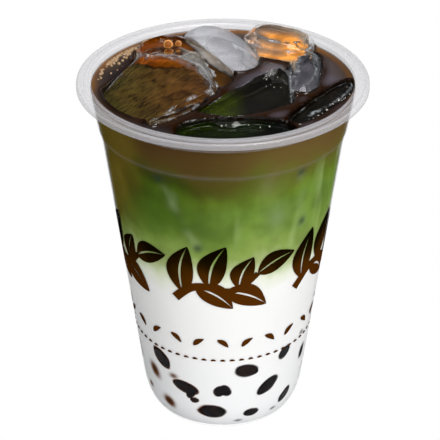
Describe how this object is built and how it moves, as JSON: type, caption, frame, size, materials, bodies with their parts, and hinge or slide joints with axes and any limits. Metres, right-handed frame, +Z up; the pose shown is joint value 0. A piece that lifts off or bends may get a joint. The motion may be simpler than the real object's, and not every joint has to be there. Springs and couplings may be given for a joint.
{
  "type": "matcha latte",
  "caption": "Layered iced matcha latte in a tapered clear plastic cup with a flat rim: white milk, green matcha and dark tea, with ice breaking the surface.",
  "frame": {"origin": "middle of the cup's base, on the surface that it stands on", "axes": "+Z up along the cup's axis; -Y towards the side that faces the viewer"},
  "size_m": [0.095, 0.095, 0.1256],
  "materials": {
    "cup_plastic": "thin clear moulded plastic, slightly milky, soft gloss",
    "milk": "opaque white milk",
    "matcha": "cloudy green matcha in milk, paler streaks",
    "tea": "dark brown tea, glossy wet surface",
    "ice": "clear wet ice with frosty edges"
  },
  "bodies": {
    "root": {"cup": "cup_plastic", "milk": "milk", "matcha": "matcha", "tea": "tea", "ice_slab_left": "ice", "ice_wedge_left": "ice", "ice_crescent_back_left": "ice", "ice_dome_back": "ice", "ice_block_back_right": "ice", "ice_block_right": "ice", "ice_slab_middle": "ice", "ice_slab_right": "ice", "ice_slab_front": "ice"}
  },
  "joints": []
}
